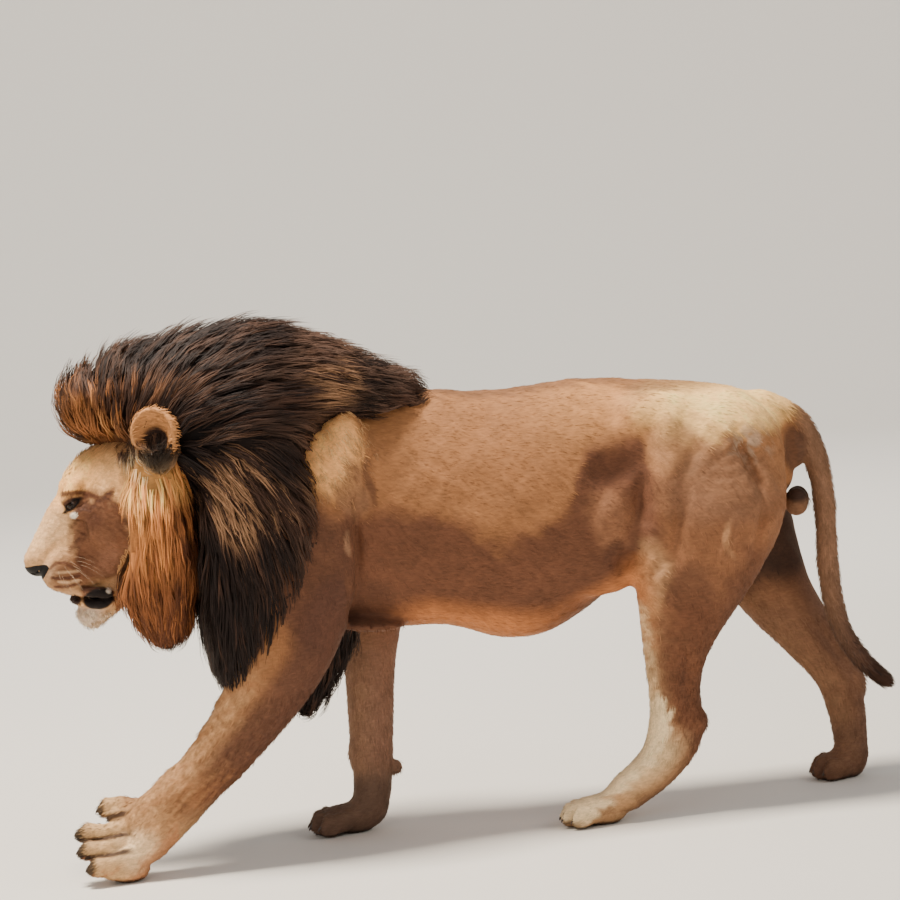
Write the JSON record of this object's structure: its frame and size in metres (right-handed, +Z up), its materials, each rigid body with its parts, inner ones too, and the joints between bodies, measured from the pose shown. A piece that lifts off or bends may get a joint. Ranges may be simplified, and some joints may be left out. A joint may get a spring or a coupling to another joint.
{
  "type": "lion",
  "caption": "Life-size adult male lion walking with its head low, with a full dark mane, a golden cheek ruff and a long tail with a tuft; a still model in the manner of a museum mount.",
  "frame": {"origin": "centre of the footprint of the bounding box, on the floor", "axes": "the lion faces -X with its left side towards -Y, +Z is up"},
  "size_m": [2.0822, 0.5228, 1.2945],
  "materials": {
    "fur_tawny": "short tawny fur",
    "mane_dark": "long dark brown to black hair",
    "mane_gold": "long golden hair",
    "nose_pad": "bare moist skin",
    "eye": "glossy amber eye",
    "claw": "dark horn"
  },
  "bodies": {
    "root": {"abdomen": "fur_tawny", "brisket_fringe": "mane_dark", "chest": "fur_tawny", "claw_fore_left_1": "claw", "claw_fore_left_2": "claw", "claw_fore_left_3": "claw", "claw_fore_left_4": "claw", "claw_fore_right_1": "claw", "claw_fore_right_2": "claw", "claw_fore_right_3": "claw", "claw_fore_right_4": "claw", "claw_hind_left_1": "claw", "claw_hind_left_2": "claw", "claw_hind_left_3": "claw", "claw_hind_left_4": "claw", "claw_hind_right_1": "claw", "claw_hind_right_2": "claw", "claw_hind_right_3": "claw", "claw_hind_right_4": "claw", "ear_left": "fur_tawny", "ear_right": "fur_tawny", "eye_left": "eye", "eye_right": "eye", "face": "fur_tawny", "forearm_left": "fur_tawny", "forearm_right": "fur_tawny", "head": "fur_tawny", "hindquarters": "fur_tawny", "jaw": "fur_tawny", "mane_chest": "mane_dark", "mane_crest": "mane_dark", "mane_plume": "mane_dark", "metatarsus_left": "fur_tawny", "metatarsus_right": "fur_tawny", "neck": "mane_dark", "nose": "nose_pad", "paw_fore_left": "fur_tawny", "paw_fore_right": "fur_tawny", "paw_hind_left": "fur_tawny", "paw_hind_right": "fur_tawny", "ruff": "mane_gold", "scrotum": "fur_tawny", "shank_left": "fur_tawny", "shank_right": "fur_tawny", "tail_base": "fur_tawny", "tail_middle": "fur_tawny", "tail_tuft": "mane_dark", "thigh_left": "fur_tawny", "thigh_right": "fur_tawny", "upper_arm_left": "fur_tawny", "upper_arm_right": "fur_tawny"}
  },
  "joints": []
}
